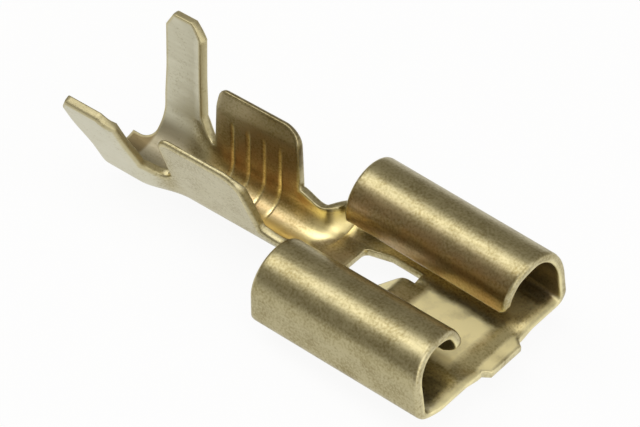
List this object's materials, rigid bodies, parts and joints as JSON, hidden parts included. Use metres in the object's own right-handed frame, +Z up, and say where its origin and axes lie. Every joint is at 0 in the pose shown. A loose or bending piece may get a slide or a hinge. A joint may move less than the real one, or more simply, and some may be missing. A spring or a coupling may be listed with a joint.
{
  "type": "quick disconnect terminal",
  "caption": "Open-barrel female blade terminal of folded brass strip: rolled receptacle with a locking lance, serrated wire barrel, insulation barrel and carrier stub.",
  "frame": {"origin": "middle of the mating tab's cross-section, level with the front edge of the receptacle's floor", "axes": "+X out of the mouth, the way the tab leaves; +Z up from the floor, on the side of the rolls and the crimp wings; +Y to the left seen from the rear"},
  "size_m": [0.0171, 0.0076, 0.0065],
  "materials": {
    "brass": "satin"
  },
  "bodies": {
    "root": {"terminal": "brass"}
  },
  "joints": []
}
